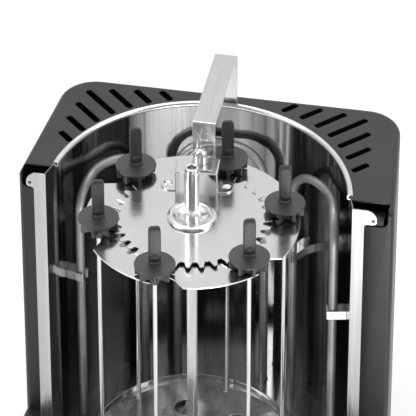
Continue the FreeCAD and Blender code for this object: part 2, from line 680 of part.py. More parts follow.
def top_plate():
    """Top sheet with the reflector's cut-out and seven slots in each rear corner."""
    plate = housing_solid(TOP_BEND, False, TOP_Z - SHELL_T, TOP_Z)
    plate = plate.cut(cyl(REF_R + 0.5, TOP_Z - 5, TOP_Z + 1, 0, REF_Y))
    for s, mid in zip((-1, 1), SLOT_MID):
        plate = plate.cut(corner_notch(s))
        for i in range(7):
            slot = corner_slot(i, mid)
            plate = plate.cut(slot if s > 0 else slot.mirror(V(0, 0, 0), V(1, 0, 0)))
    post_gap = box(-ARM_W / 2 - 1, ARM_W / 2 + 1, POST_Y - 1.2, POST_Y + ARM_T + 1.2,
                   TOP_Z - 5, TOP_Z + 1)
    return plate.cut(post_gap)


def hinge_block(s):
    """Black block in the corner pocket with a vertical socket for a door pin."""
    block = box(121.0, 140.0, CORNER_Y + SHELL_T, 68.0, TOP_Z - 40.0, TOP_Z - 10.0)
    block = block.cut(cyl(3.0, TOP_Z - 30.0, TOP_Z - 5.0, 130.0, 61.6))
    return block if s > 0 else block.mirror(V(0, 0, 0), V(1, 0, 0))


# ---------------------------------------------------------------- chamber
def chamber_floor():
    """Stainless floor pan sitting on the base deck."""
    plate = cyl(REF_R + 4, BASE_TOP, FLOOR_Z, 0, REF_Y)
    plate = plate.cut(cyl(12.5, BASE_TOP - 1, FLOOR_Z + 1))
    plate = plate.cut(box(-130, 130, -130, -85, BASE_TOP - 1, FLOOR_Z + 1))
    for _, a0, a1 in HEAT_SPANS:
        for a in (a0, a1):
            p = polar(HEAT_RING, a, 0, REF_Y)
            plate = plate.cut(cyl(HEAT_R + 0.6, BASE_TOP - 1, FLOOR_Z + 1, p.x, p.y))
    return plate


TRAY_R = 94.0


def drip_tray():
    """Shallow pan with a slot from its rear edge that clears the drive socket."""
    z0 = FLOOR_Z + GAP
    z1 = FLOOR_Z + 14.0
    pan = cyl(TRAY_R, z0, z1).cut(cyl(TRAY_R - 1.2, z0 + 1.2, z1 + 1))
    lip = tube(TRAY_R + 3.0, TRAY_R - 1.2, z1 - 1.2, z1)
    wall = box(-18.2, 18.2, -18.2, TRAY_R - 0.5, z0, z1)
    gap = box(-17.0, 17.0, -17.0, TRAY_R + 5, z0 - 1, z1 + 1)
    grip = rounded_slab(-22.0, 22.0, -TRAY_R - 8.0, -TRAY_R + 0.5, z1 - 1.2, z1, 4.0)
    return union([pan, lip, wall, grip]).cut(gap)


# ---------------------------------------------------------------- heating tubes
def heater(a0, a1):
    """Inverted U of tube standing against the reflector, its legs passing the floor."""
    z_low = BASE_TOP - 22.0
    half = math.radians((a1 - a0) / 2)
    c45 = HEAT_BEND * (1 - math.sqrt(0.5))
    legs = []
    for a, side in ((a0, 1), (a1, -1)):
        foot_pt = polar(HEAT_RING, a, z_low, REF_Y)
        along = V(-math.sin(math.radians(a)) * side, math.cos(math.radians(a)) * side, 0)
        knee = V(foot_pt.x, foot_pt.y, HEAT_TOP - HEAT_BEND)
        middle = knee + along * c45 + Z * (HEAT_BEND * math.sqrt(0.5))
        end = knee + along * HEAT_BEND + Z * HEAT_BEND
        legs.append((foot_pt, knee, middle, end))
    top_r = HEAT_RING - HEAT_BEND / math.tan(half)
    crown_r = HEAT_RING * math.cos(half) + HEAT_BEND * math.sin(half) + top_r * (1 - math.cos(half))
    crown = polar(crown_r, (a0 + a1) / 2, HEAT_TOP, REF_Y)
    first, last = legs
    path = Part.Wire([Part.makeLine(first[0], first[1]),
                      Part.Arc(first[1], first[2], first[3]).toShape(),
                      Part.Arc(first[3], crown, last[3]).toShape(),
                      Part.Arc(last[3], last[2], last[1]).toShape(),
                      Part.makeLine(last[1], last[0])])
    ring = Part.Wire(Part.makeCircle(HEAT_R, first[0], Z))
    return path.makePipeShell([ring], True, True)


def heater_clips():
    """Wall clips that hold the tubes off the reflector."""
    parts = []
    for _, a0, a1 in HEAT_SPANS:
        for a in (a0, a1):
            clip = box(HEAT_RING - HEAT_R - 1.2, REF_R - REF_T, -5, 5, 250, 258)
            clip = clip.cut(cyl(HEAT_R, 249, 259, HEAT_RING, 0))
            clip = clip.common(cyl(REF_R - REF_T, 249, 259))
            clip = clip.cut(box(90, HEAT_RING - 1.5, -2.4, 2.4, 249, 259))
            clip.rotate(V(0, 0, 0), Z, a)
            clip.translate(V(0, REF_Y, 0))
            parts.append(clip)
    return Part.makeCompound(parts)


def heater_terminals():
    """Ceramic ends and spade tabs of the tubes inside the base."""
    parts = []
    for _, a0, a1 in HEAT_SPANS:
        for a in (a0, a1):
            p = polar(HEAT_RING, a, 0, REF_Y)
            z = BASE_TOP - 22.0
            parts.append(union([cyl(3.0, z - 8, z, p.x, p.y),
                                box(p.x - 3, p.x + 3, p.y - 0.4, p.y + 0.4, z - 18, z - 7.5)]))
    return Part.makeCompound(parts)


# ---------------------------------------------------------------- electrics and fixings
def terminal_block():
    block = box(30, 78, 120, 138, FOOT_H + 2, FOOT_H + 20)
    for i in range(5):
        x = 35.0 + 9.5 * i
        block = block.cut(cyl(2.2, FOOT_H + 12, FOOT_H + 21, x, 129))
    return block


def thermal_cutout():
    """Small round limiter on the back of the reflector."""
    y = REF_Y + math.sqrt(REF_R ** 2 - 60.0 ** 2)
    disc = Part.makeCylinder(8.0, 9.0, V(-60.0, y - 0.5, 320.0), V(-0.5, 0.86, 0))
    return disc.cut(cyl(REF_R, 300, 340, 0, REF_Y))


def cord_gland():
    """Moulded entry ring at the rear of the base."""
    flange = cyl_y(9.0, REAR_Y, REAR_Y + 2.0, 95.0, 34.0)
    barrel = cyl_y(6.5, REAR_Y - 10.0, REAR_Y, 95.0, 34.0)
    return flange.fuse(barrel).cut(cyl_y(3.6, REAR_Y - 11, REAR_Y + 3, 95.0, 34.0))


def housing_screws():
    """Pan-head screws along the lower rear edge of the wrap."""
    parts = []
    for x in (-105.0, -60.0, 60.0, 105.0):
        for z in (114.0, 338.0):
            head = cyl_y(3.2, REAR_Y, REAR_Y + 1.6, x, z)
            slot = box(x - 2.2, x + 2.2, REAR_Y + 0.9, REAR_Y + 2, z - 0.4, z + 0.4)
            parts.append(head.cut(slot))
    return Part.makeCompound(parts)


# ---------------------------------------------------------------- build
add("base_housing", base_housing())
add("base_plate", base_plate())
for i, (fx, fy) in enumerate(FEET):
    add("foot_%d" % (i + 1), foot(fx, fy))
add("control_panel", control_panel())
add("timer_unit", timer_unit())
add("timer_shaft", timer_shaft())
add("timer_knob", timer_knob())
add("rocker_frame", rocker_frame())
add("power_rocker", power_rocker())
add("indicator_lamp", indicator_lamp())
add("drive_motor", drive_motor())
add("motor_bracket", motor_bracket())
add("drive_coupler", drive_coupler())
add("spindle", spindle())
add("lower_disc", lower_disc())
add("tip_sockets", tip_sockets())
add("disc_hub", disc_hub())
add("carrier_disc", carrier_disc())
for n in range(SKEWER_COUNT):
    add("skewer_head_%d" % (n + 1), skewer_head(n))
    add("skewer_rod_%d" % (n + 1), skewer_rod(n))
add("sun_gear", sun_gear())
add("hub_tube", hub_tube())
add("saddle", saddle())
add("saddle_rivets", saddle_rivets())
add("locating_peg", locating_peg())
add("arm", arm())
add("arm_socket", arm_socket())
add("reflector", reflector())
add("rim_bead", rim_bead())
add("front_strip_left", front_strip(-1))
add("front_strip_right", front_strip(1))
add("housing_shell", housing_shell())
add("top_plate", top_plate())
add("hinge_block_left", hinge_block(-1))
add("hinge_block_right", hinge_block(1))
add("chamber_floor", chamber_floor())
add("drip_tray", drip_tray())
for tag, start, stop in HEAT_SPANS:
    add("heater_" + tag, heater(start, stop))
add("heater_clips", heater_clips())
add("heater_terminals", heater_terminals())
add("terminal_block", terminal_block())
add("thermal_cutout", thermal_cutout())
add("cord_gland", cord_gland())
add("housing_screws", housing_screws())

os.makedirs("parts", exist_ok=True)
for name, shape in NODES.items():
    shape.exportStep(os.path.join("parts", name + ".step"))
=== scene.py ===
import bpy
import bmesh
import json
import math
from mathutils import Matrix, Vector


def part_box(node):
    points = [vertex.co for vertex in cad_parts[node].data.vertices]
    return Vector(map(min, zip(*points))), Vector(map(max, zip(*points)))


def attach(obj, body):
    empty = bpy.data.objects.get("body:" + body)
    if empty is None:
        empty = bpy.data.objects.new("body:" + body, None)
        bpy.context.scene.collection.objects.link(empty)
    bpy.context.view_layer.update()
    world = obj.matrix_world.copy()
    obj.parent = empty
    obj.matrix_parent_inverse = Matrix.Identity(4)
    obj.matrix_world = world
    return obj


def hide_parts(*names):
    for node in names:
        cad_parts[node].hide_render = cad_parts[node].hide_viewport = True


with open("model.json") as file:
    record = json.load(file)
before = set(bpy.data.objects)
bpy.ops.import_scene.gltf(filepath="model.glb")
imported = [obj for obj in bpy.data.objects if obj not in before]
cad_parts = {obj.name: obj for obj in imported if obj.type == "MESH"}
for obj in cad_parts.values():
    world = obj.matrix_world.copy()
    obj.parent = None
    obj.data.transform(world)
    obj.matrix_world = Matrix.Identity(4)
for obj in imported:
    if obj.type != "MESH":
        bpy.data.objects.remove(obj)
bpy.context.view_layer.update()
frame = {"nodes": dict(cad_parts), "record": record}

# ---------------------------------------------------------------- sizes, in metres
MM = 0.001
AXIS = (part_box("spindle")[0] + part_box("spindle")[1]) / 2
HUB = Vector((AXIS.x, AXIS.y, 0.0))
SUN_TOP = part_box("sun_gear")[1].z
RIM_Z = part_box("front_strip_left")[1].z
HEAD_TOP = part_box("skewer_head_1")[1].z
BLADE_H = 35 * MM
FLANGE_TOP = HEAD_TOP - BLADE_H
FLANGE_R = 15.7 * MM
FLANGE_T = 1.6 * MM
PINION_Z = FLANGE_TOP - 9.4 * MM
PINION_TEETH = 8
PINION_TIP = 15.2 * MM
PINION_PITCH = 13.0 * MM
PINION_ROOT = 9.6 * MM
PINION_WIDTHS = (4.6 * MM, 3.2 * MM, 1.7 * MM)
NECK_Z = FLANGE_TOP - 19.0 * MM
ROD_R = 1.7 * MM
CARRIER_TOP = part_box("carrier_disc")[1].z
CARRIER_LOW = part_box("carrier_disc")[0].z
FLOOR_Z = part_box("chamber_floor")[1].z
SHEET_R = 116.7 * MM
FLARE_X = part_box("reflector")[1].x
FLARE_A = 8.0
SHEET_T = 0.8 * MM
BEAD_R = 2.3 * MM
SHEET_C = Vector((0.0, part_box("reflector")[0].y, 0.0))
SKEWER_R = 71.5 * MM
SKEWER_A0 = 17.8
HEATER_RING = 105 * MM
HEATER_R = 3.5 * MM
HEATER_BEND = 24 * MM
HEATER_SPANS = {
    "heater_left": (125.0, 163.0),
    "heater_rear": (70.5, 110.0),
    "heater_right": (11.0, 55.0),
}

# Camera: azimuth and elevation in degrees, the rest in metres and millimetres of lens
CAMERA_AZIMUTH = 10.53
CAMERA_ELEVATION = 37.71
CAMERA_DISTANCE = 3.192
CAMERA_LENS = 363.5
CAMERA_TARGET = HUB + Vector((12.48 * MM, 0, FLANGE_TOP + 3.2 * MM))

# Lights: name, place, target, size and power
LIGHTS = (
    ("key", (-1.3, -0.7, 1.6), (0.0, 0.0, 0.3), (0.9, 0.9), 14.0),
    ("fill", (1.4, -0.3, 1.2), (0.0, 0.0, 0.3), (0.8, 1.2), 8.0),
    ("rear", (0.0, 1.7, 4.2), (0.0, 1.1, 0.0), (3.0, 1.6), 70.0),
    ("low", (0.22, -0.44, 0.04), (0.15, 0.0, 0.26), (0.3, 0.3), 1.4),
)


# ---------------------------------------------------------------- material tools
def new_material(name, base, rough, metal=0.0):
    """A Principled material and its node helpers."""
    mat = bpy.data.materials.new(name)
    mat.use_nodes = True
    shader = mat.node_tree.nodes["Principled BSDF"]
    shader.inputs["Base Color"].default_value = (*base, 1.0)
    shader.inputs["Roughness"].default_value = rough
    shader.inputs["Metallic"].default_value = metal
    return mat, mat.node_tree, shader


def node(tree, kind, **values):
    """Add a shader node; each value goes to the input or property of that name."""
    n = tree.nodes.new(kind)
    for key, value in values.items():
        if key in n.inputs:
            n.inputs[key].default_value = value
        else:
            setattr(n, key, value)
    return n


def coords(tree, scale=(1, 1, 1)):
    """Object coordinates, stretched by scale."""
    tc = node(tree, "ShaderNodeTexCoord")
    mp = node(tree, "ShaderNodeMapping")
    mp.inputs["Scale"].default_value = scale
    tree.links.new(tc.outputs["Object"], mp.inputs["Vector"])
    return mp.outputs["Vector"]


def noise(tree, scale, detail=4.0, stretch=(1, 1, 1), rough=0.5):
    """Noise in object coordinates, its features drawn out along the axes with a small stretch."""
    n = node(tree, "ShaderNodeTexNoise", Scale=scale, Detail=detail, Roughness=rough)
    tree.links.new(coords(tree, stretch), n.inputs["Vector"])
    return n.outputs["Fac"]


def ramp(tree, source, low, high, a=0.35, b=0.65):
    """Map a 0..1 source to two colours or two grey values."""
    n = node(tree, "ShaderNodeValToRGB")
    low = (low,) * 3 if isinstance(low, float) else low
    high = (high,) * 3 if isinstance(high, float) else high
    n.color_ramp.elements[0].position = a
    n.color_ramp.elements[1].position = b
    n.color_ramp.elements[0].color = (*low, 1)
    n.color_ramp.elements[1].color = (*high, 1)
    tree.links.new(source, n.inputs["Fac"])
    return n.outputs["Color"]


def bump(tree, shader, source, strength, depth):
    """Add a bump on top of those the shader already has."""
    n = node(tree, "ShaderNodeBump", Strength=strength, Distance=depth)
    tree.links.new(source, n.inputs["Height"])
    previous = shader.inputs["Normal"].links
    if previous:
        tree.links.new(previous[0].from_socket, n.inputs["Normal"])
    tree.links.new(n.outputs["Normal"], shader.inputs["Normal"])


def sheet_steel(name, base, rough, streak, stretch, low=0.94, painted_bands=None):
    """Bright rolled sheet: fine grain along one direction and faint smears.

    painted_bands adds broad upright dark streaks and a slight waviness: (noise scale, darkest factor,
    depth); the streaks are painted reflection and painted shade, the waviness a bump.
    """
    mat, tree, sh = new_material(name, base, rough, 1.0)
    grain = noise(tree, 60.0, 6.0, stretch, 0.65)
    smear = noise(tree, 14.0, 3.0)
    tone = node(tree, "ShaderNodeMixRGB", blend_type="MULTIPLY", Fac=1.0)
    tree.links.new(ramp(tree, grain, tuple(c * low for c in base), base, 0.3, 0.7), tone.inputs[1])
    tree.links.new(ramp(tree, smear, 0.96, 1.0), tone.inputs[2])
    result = tone.outputs["Color"]
    if painted_bands:
        # Broad upright dark streaks multiplied into the colour: painted reflection and painted shade.
        wide = node(tree, "ShaderNodeMixRGB", blend_type="MULTIPLY", Fac=1.0)
        upright = noise(tree, painted_bands[0], 3.0, (1, 1, 0.03))
        tree.links.new(result, wide.inputs[1])
        tree.links.new(ramp(tree, upright, painted_bands[1], 1.0, 0.38, 0.62), wide.inputs[2])
        result = wide.outputs["Color"]
        bump(tree, sh, upright, 0.5, painted_bands[2])
    tree.links.new(result, sh.inputs["Base Color"])
    tree.links.new(ramp(tree, grain, max(rough - streak, 0.03), rough + streak), sh.inputs["Roughness"])
    bump(tree, sh, grain, 0.03, 0.0002)
    return mat


def enamel(name, base, rough, grain_scale=900.0, depth=0.00006):
    """Satin enamel on sheet metal: orange-peel grain and slight tone changes."""
    mat, tree, sh = new_material(name, base, rough)
    peel = noise(tree, grain_scale, 3.0)
    tone = noise(tree, 22.0, 3.0)
    tree.links.new(ramp(tree, tone, tuple(c * 0.88 for c in base), tuple(c * 1.1 for c in base)),
                   sh.inputs["Base Color"])
    tree.links.new(ramp(tree, peel, rough - 0.05, rough + 0.06), sh.inputs["Roughness"])
    bump(tree, sh, peel, 0.25, depth)
    return mat


def plastic(name, base, rough, grain_scale=1400.0):
    """Moulded plastic with a fine spark-eroded grain."""
    mat, tree, sh = new_material(name, base, rough)
    grain = noise(tree, grain_scale, 4.0)
    tone = noise(tree, 60.0, 2.0)
    tree.links.new(ramp(tree, tone, tuple(c * 0.9 for c in base), tuple(c * 1.12 for c in base)),
                   sh.inputs["Base Color"])
    tree.links.new(ramp(tree, grain, rough - 0.06, rough + 0.08), sh.inputs["Roughness"])
    bump(tree, sh, grain, 0.3, 0.00005)
    return mat


# Mirror base kept dark and streaked with broad upright dark bands: painted reflection of dark
# surroundings.
MIRROR = sheet_steel("mirror_sheet", (0.42, 0.42, 0.423), 0.12, 0.04, (14, 14, 0.4), 0.85,
                     (26.0, 0.4, 0.004))
# Strip steel's broad upright dark streaks: partly a random tone in the steel, partly painted shade
# across the strips.
STRIP_STEEL = sheet_steel("strip_steel", (0.6, 0.6, 0.605), 0.2, 0.05, (14, 14, 0.4), 0.9,
                          (60.0, 0.78, 0.001))
PLATE_STEEL = sheet_steel("plate_steel", (0.78, 0.78, 0.785), 0.17, 0.03, (1, 6, 1), 0.97)
BRUSHED = sheet_steel("brushed_steel", (0.74, 0.74, 0.735), 0.2, 0.05, (5, 0.4, 0.4), 0.93)
CHROME = sheet_steel("chrome_hub", (0.86, 0.86, 0.87), 0.22, 0.03, (1, 1, 1))
ROD_STEEL = sheet_steel("rod_steel", (0.68, 0.68, 0.68), 0.2, 0.05, (6, 6, 0.5))
ZINC = sheet_steel("zinc", (0.42, 0.43, 0.45), 0.42, 0.1, (1, 1, 1))
BLACK_SHEET = enamel("black_sheet", (0.0215, 0.022, 0.0225), 0.4)
BLACK_BASE = plastic("black_base", (0.022, 0.022, 0.023), 0.42, 900.0)
HEAD_PLASTIC = plastic("head_plastic", (0.042, 0.045, 0.045), 0.4)
KNOB_PLASTIC = plastic("knob_plastic", (0.02, 0.02, 0.021), 0.3)
RUBBER = plastic("foot_rubber", (0.018, 0.018, 0.018), 0.7)
CERAMIC = enamel("ceramic", (0.75, 0.72, 0.66), 0.3, 200.0)


def heater_material():
    """Sheathed tube: dull grey oxide, slightly warmer in patches."""
    mat, tree, sh = new_material("heater_sheath", (0.09, 0.09, 0.092), 0.42, 0.75)
    tone = noise(tree, 26.0, 4.0)
    fine = noise(tree, 700.0, 4.0)
    tree.links.new(ramp(tree, tone, (0.27, 0.27, 0.272), (0.4, 0.395, 0.39)),
                   sh.inputs["Base Color"])
    tree.links.new(ramp(tree, fine, 0.36, 0.52), sh.inputs["Roughness"])
    bump(tree, sh, fine, 0.25, 0.00006)
    return mat


HEATER = heater_material()


def lamp_material():
    """Red lens with a fine cellular surface."""
    mat, tree, sh = new_material("lamp_lens", (0.6, 0.03, 0.02), 0.15)
    cells = noise(tree, 500.0, 2.0)
    tree.links.new(ramp(tree, cells, (0.45, 0.02, 0.015), (0.75, 0.05, 0.03)),
                   sh.inputs["Base Color"])
    bump(tree, sh, cells, 0.2, 0.0001)
    return mat


LAMP = lamp_material()


# ---------------------------------------------------------------- mesh tools
def finish_mesh(name, bm, mat, body, replaced=(), angle=35.0, bevel=0.0, segments=2):
    """Turn a bmesh into a smooth-shaded piece that rides on a body."""
    bmesh.ops.recalc_face_normals(bm, faces=bm.faces)
    mesh = bpy.data.meshes.new(name)
    bm.to_mesh(mesh)
    bm.free()
    mesh.shade_smooth()
    mesh.set_sharp_from_angle(angle=math.radians(angle))
    mesh.materials.append(mat)
    obj = bpy.data.objects.new(name, mesh)
    bpy.context.scene.collection.objects.link(obj)
    if bevel:
        mod = obj.modifiers.new("edges", "BEVEL")
        mod.width = bevel
        mod.segments = segments
        mod.limit_method = "ANGLE"
        mod.angle_limit = math.radians(angle)
        mod.harden_normals = True
    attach(obj, body)
    for n in replaced:
        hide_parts(n)
    return obj


def body_of(node_name):
    """The moving body that a CAD node belongs to."""
    for body, members in frame["record"]["behaviour"]["bodies"].items():
        if node_name in members:
            return body
    raise KeyError(node_name)


def refine(node_name, mat, bevel=0.3 * MM, angle=35.0):
    """Copy a CAD node's shape as clean faces with rounded edges, and show that in its place."""
    bm = bmesh.new()
    bm.from_mesh(frame["nodes"][node_name].data)
    bmesh.ops.remove_doubles(bm, verts=bm.verts, dist=1e-6)
    bmesh.ops.dissolve_limit(bm, angle_limit=math.radians(0.5), verts=bm.verts, edges=bm.edges)
    return finish_mesh(node_name + "_skin", bm, mat, body_of(node_name), [node_name], angle,
                       bevel, 2)


def lathe(bm, profile, centre=(0, 0, 0), turns=64, start=0.0, sweep=360.0, close_profile=False):
    """Spin (radius, z) points round a vertical axis into a bmesh."""
    full = abs(sweep - 360.0) < 1e-6
    count = turns if full else turns + 1
    rings = []
    for i in range(count):
        a = math.radians(start + sweep * i / turns)
        rings.append([bm.verts.new((centre[0] + r * math.cos(a), centre[1] + r * math.sin(a),
                                    centre[2] + z)) for r, z in profile])
    last = len(profile) if close_profile else len(profile) - 1
    for i in range(turns):
        one, two = rings[i], rings[(i + 1) % count]
        for j in range(last):
            k = (j + 1) % len(profile)
            bm.faces.new((one[j], two[j], two[k], one[k]))
    if not full and close_profile:
        bm.faces.new(rings[0])
        bm.faces.new(list(reversed(rings[-1])))
    return rings


def extrude(bm, outline, z0, z1):
    """Prism from a plan outline."""
    low = [bm.verts.new((x, y, z0)) for x, y in outline]
    high = [bm.verts.new((x, y, z1)) for x, y in outline]
    n = len(outline)
    for i in range(n):
        j = (i + 1) % n
        bm.faces.new((low[i], low[j], high[j], high[i]))
    bm.faces.new(high)
    bm.faces.new(list(reversed(low)))
    return low + high


def sweep(bm, path, radius, sides=20, inner=0.0):
    """Round tube along a list of points; inner leaves it hollow with open ends."""
    rings = []
    normal = None
    for i, p in enumerate(path):
        a = path[max(i - 1, 0)]
        b = path[min(i + 1, len(path) - 1)]
        t = (b - a).normalized()
        if normal is None:
            normal = t.orthogonal().normalized()
        normal = (normal - t * normal.dot(t)).normalized()
        side = t.cross(normal)
        ring = []
        for r in ((radius, inner) if inner else (radius,)):
            ring.append([bm.verts.new(p + r * (math.cos(2 * math.pi * k / sides) * normal
                                               + math.sin(2 * math.pi * k / sides) * side))
                         for k in range(sides)])
        rings.append(ring)
    for one, two in zip(rings, rings[1:]):
        for wall_one, wall_two in zip(one, two):
            for k in range(sides):
                m = (k + 1) % sides
                bm.faces.new((wall_one[k], wall_one[m], wall_two[m], wall_two[k]))
    for ring in (rings[0], rings[-1]):
        if inner:
            for k in range(sides):
                m = (k + 1) % sides
                bm.faces.new((ring[0][k], ring[0][m], ring[1][m], ring[1][k]))
        else:
            bm.faces.new(ring[0])


def place(verts, matrix):
    """Move vertices by a matrix."""
    for v in verts:
        v.co = matrix @ v.co


def gear_outline(teeth, tip, root, widths, pitch, phase):
    """Closed outline of straight-flanked teeth; phase is one tooth's middle in degrees."""
    pts = []
    w_root, w_pitch, w_tip = widths
    for i in range(teeth):
        a = math.radians(phase + 360.0 * i / teeth)
        for r, w in ((root, -w_root), (pitch, -w_pitch), (tip, -w_tip),
                     (tip, w_tip), (pitch, w_pitch), (root, w_root)):
            d = a + w / 2 / r
            pts.append((r * math.cos(d), r * math.sin(d)))
    return pts


# ---------------------------------------------------------------- reflector
def wall(bm, outer, inner, z0, z1):
    """Standing sheet between two plan lines of equal length."""
    rings = [[bm.verts.new(SHEET_C + Vector((x, y, z))) for x, y, z in
              ((*o, z0), (*o, z1), (*i, z1), (*i, z0))] for o, i in zip(outer, inner)]
    for one, two in zip(rings, rings[1:]):
        for j in range(4):
            k = (j + 1) % 4
            bm.faces.new((one[j], two[j], two[k], one[k]))
    bm.faces.new(rings[0])
    bm.faces.new(list(reversed(rings[-1])))


def build_reflector():
    """Curved mirror sheet and its two flared edges."""
    steps = 160
    bm = bmesh.new()
    r = SHEET_R
    end = r * math.sin(math.radians(FLARE_A))
    r_in = r - SHEET_T
    a_in = math.asin(end / r_in)
    outer, inner = [], []
    for i in range(steps + 1):
        a = math.radians(FLARE_A) + (math.pi - 2 * math.radians(FLARE_A)) * i / steps
        b = a_in + (math.pi - 2 * a_in) * i / steps
        outer.append((r * math.cos(a), r * math.sin(a)))
        inner.append((r_in * math.cos(b), r_in * math.sin(b)))
    wall(bm, outer, inner, FLOOR_Z, RIM_Z - BEAD_R)
    for s in (-1, 1):
        wall(bm, [(s * outer[0][0], end), (s * FLARE_X, 0.0)],
             [(s * inner[0][0], end), (s * (FLARE_X - SHEET_T), 0.0)], FLOOR_Z, RIM_Z)
    finish_mesh("reflector_sheet", bm, MIRROR, "oven", ["reflector"], 35.0, 0, 2)


def build_bead():
    """Hollow rolled bead along the top edge of the mirror sheet."""
    steps = 120
    r = SHEET_R - SHEET_T / 2
    path = []
    for i in range(steps + 1):
        a = math.radians(FLARE_A + (180.0 - 2 * FLARE_A) * i / steps)
        path.append(SHEET_C + Vector((r * math.cos(a), r * math.sin(a), RIM_Z - BEAD_R)))
    bm = bmesh.new()
    sweep(bm, path, BEAD_R, 24, BEAD_R - 0.7 * MM)
    finish_mesh("rim_roll", bm, CHROME, "oven", ["rim_bead"], 40.0, 0, 2)


# ---------------------------------------------------------------- heating tubes
def heater_path(a0, a1):
    """Inverted U: straight legs, two round knees and a level crown that follows the wall."""
    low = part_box("heater_left")[0].z
    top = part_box("heater_left")[1].z - HEATER_R
    half = math.radians((a1 - a0) / 2)
    crown_r = HEATER_RING - HEATER_BEND / math.tan(half)
    middle = math.radians((a0 + a1) / 2)
    reach = HEATER_RING * math.cos(half) + HEATER_BEND * math.sin(half) - crown_r * math.cos(half)
    hub = SHEET_C + Vector((reach * math.cos(middle), reach * math.sin(middle), 0))

    def leg(angle, side):
        a = math.radians(angle)
        base = SHEET_C + Vector((HEATER_RING * math.cos(a), HEATER_RING * math.sin(a), 0))
        along = Vector((-math.sin(a), math.cos(a), 0)) * side
        pts = [base + Vector((0, 0, low + (top - HEATER_BEND - low) * i / 9)) for i in range(9)]
        for i in range(17):
            d = math.radians(90.0 * i / 16)
            pts.append(base + along * (HEATER_BEND * (1 - math.cos(d)))
                       + Vector((0, 0, top - HEATER_BEND + HEATER_BEND * math.sin(d))))
        return pts

    crown = []
    for i in range(1, 16):
        a = middle - half + 2 * half * i / 16
        crown.append(hub + Vector((crown_r * math.cos(a), crown_r * math.sin(a), top)))
    return leg(a0, 1) + crown + list(reversed(leg(a1, -1)))


def build_heaters():
    """The three heating tubes."""
    for name, (a0, a1) in HEATER_SPANS.items():
        bm = bmesh.new()
        sweep(bm, heater_path(a0, a1), HEATER_R, 24)
        finish_mesh(name + "_tube", bm, HEATER, "oven", [name], 40.0, 0, 2)


# ---------------------------------------------------------------- skewers
def rounded_rect(w, h, r, steps=5):
    """Plan outline of a rectangle with round corners."""
    pts = []
    for cx, cy, a0 in ((w / 2 - r, h / 2 - r, 0), (-w / 2 + r, h / 2 - r, 90),
                       (-w / 2 + r, -h / 2 + r, 180), (w / 2 - r, -h / 2 + r, 270)):
        for i in range(steps + 1):
            a = math.radians(a0 + 90.0 * i / steps)
            pts.append((cx + r * math.cos(a), cy + r * math.sin(a)))
    return pts


def skewer_blade(bm, turn):
    """Flat finger grip: rounded plan, domed top, round boss and a pip low on its front."""
    levels = ((0.0, 1.0, 1.0), (30.0, 0.99, 0.97), (32.4, 0.95, 0.9), (34.0, 0.84, 0.75),
              (35.0, 0.6, 0.45))
    rings = []
    for z, kx, ky in levels:
        ring = [bm.verts.new((x * kx, y * ky, FLANGE_TOP + z * MM))
                for x, y in rounded_rect(9.6 * MM, 4.4 * MM, 1.3 * MM)]
        rings.append(ring)
    for one, two in zip(rings, rings[1:]):
        for i in range(len(one)):
            j = (i + 1) % len(one)
            bm.faces.new((one[i], one[j], two[j], two[i]))
    bm.faces.new(rings[-1])
    bm.faces.new(list(reversed(rings[0])))
    verts = [v for ring in rings for v in ring]
    boss_profile = ((0.001, 3.5), (4.3, 3.5), (4.9, 3.0), (5.0, 0.6), (5.5, 0.0))
    boss = lathe(bm, [(r * MM, z * MM) for r, z in boss_profile], (0, 0, FLANGE_TOP), 36)
    pip_profile = ((0.0001, 1.2), (1.6, 1.15), (2.6, 0.8), (3.0, 0.2), (3.0, -0.5))
    pip = lathe(bm, [(r * MM, z * MM) for r, z in pip_profile], (0, 0, 0), 28)
    pip_verts = [v for ring in pip for v in ring]
    lift = (Matrix.Translation((0, -2.2 * MM, FLANGE_TOP + 7 * MM))
            @ Matrix.Rotation(math.radians(90), 4, "X"))
    place(pip_verts, lift)
    boss_verts = [v for ring in boss for v in ring]
    place(verts + pip_verts + boss_verts, Matrix.Rotation(math.radians(turn), 4, "Z"))


def build_skewer(k):
    """One skewer: grip with flange and neck, pinion under the flange, and pointed rod."""
    number = k + 1
    angle = SKEWER_A0 + 60 * k
    seat = (Matrix.Translation(HUB) @ Matrix.Rotation(math.radians(angle), 4, "Z")
            @ Matrix.Translation((SKEWER_R, 0, 0)))
    bm = bmesh.new()
    t = FLANGE_TOP
    e = 0.35 * MM
    low_face = t - FLANGE_T
    crown_z = t + 0.25 * MM
    lathe(bm, [(0.001 * MM, crown_z), (6.0 * MM, crown_z), (FLANGE_R - e, t), (FLANGE_R, t - e),
               (FLANGE_R, low_face + e), (FLANGE_R - e, low_face), (8.0 * MM, low_face)],
          (0, 0, 0), 72)
    skewer_blade(bm, 12.0 - angle + 4.0 * (k % 3))
    collar_z = CARRIER_TOP + 0.3 * MM
    lathe(bm, [(7.0 * MM, PINION_Z + 0.5 * MM), (7.0 * MM, collar_z), (4.1 * MM, collar_z),
               (4.1 * MM, CARRIER_LOW - 1.5 * MM), (2.6 * MM, NECK_Z), (ROD_R, NECK_Z)],
          (0, 0, 0), 40)
    place(bm.verts, seat)
    body = "skewer_%d" % number
    finish_mesh("skewer_grip_%d" % number, bm, HEAD_PLASTIC, body, ["skewer_head_%d" % number],
                40.0, 0, 2)
    bm = bmesh.new()
    outline = gear_outline(PINION_TEETH, PINION_TIP, PINION_ROOT, PINION_WIDTHS, PINION_PITCH,
                           202.5)
    extrude(bm, outline, PINION_Z, low_face)
    place(bm.verts, seat)
    finish_mesh("skewer_pinion_%d" % number, bm, HEAD_PLASTIC, body, [], 30.0, 0.35 * MM, 2)
    bm = bmesh.new()
    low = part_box("skewer_rod_%d" % number)[0].z
    lathe(bm, [(0.35 * MM, low), (ROD_R, low + 3.5 * MM), (ROD_R, t)], (0, 0, 0), 24)
    place(bm.verts, seat)
    finish_mesh("skewer_pin_%d" % number, bm, ROD_STEEL, body, ["skewer_rod_%d" % number],
                40.0, 0, 2)


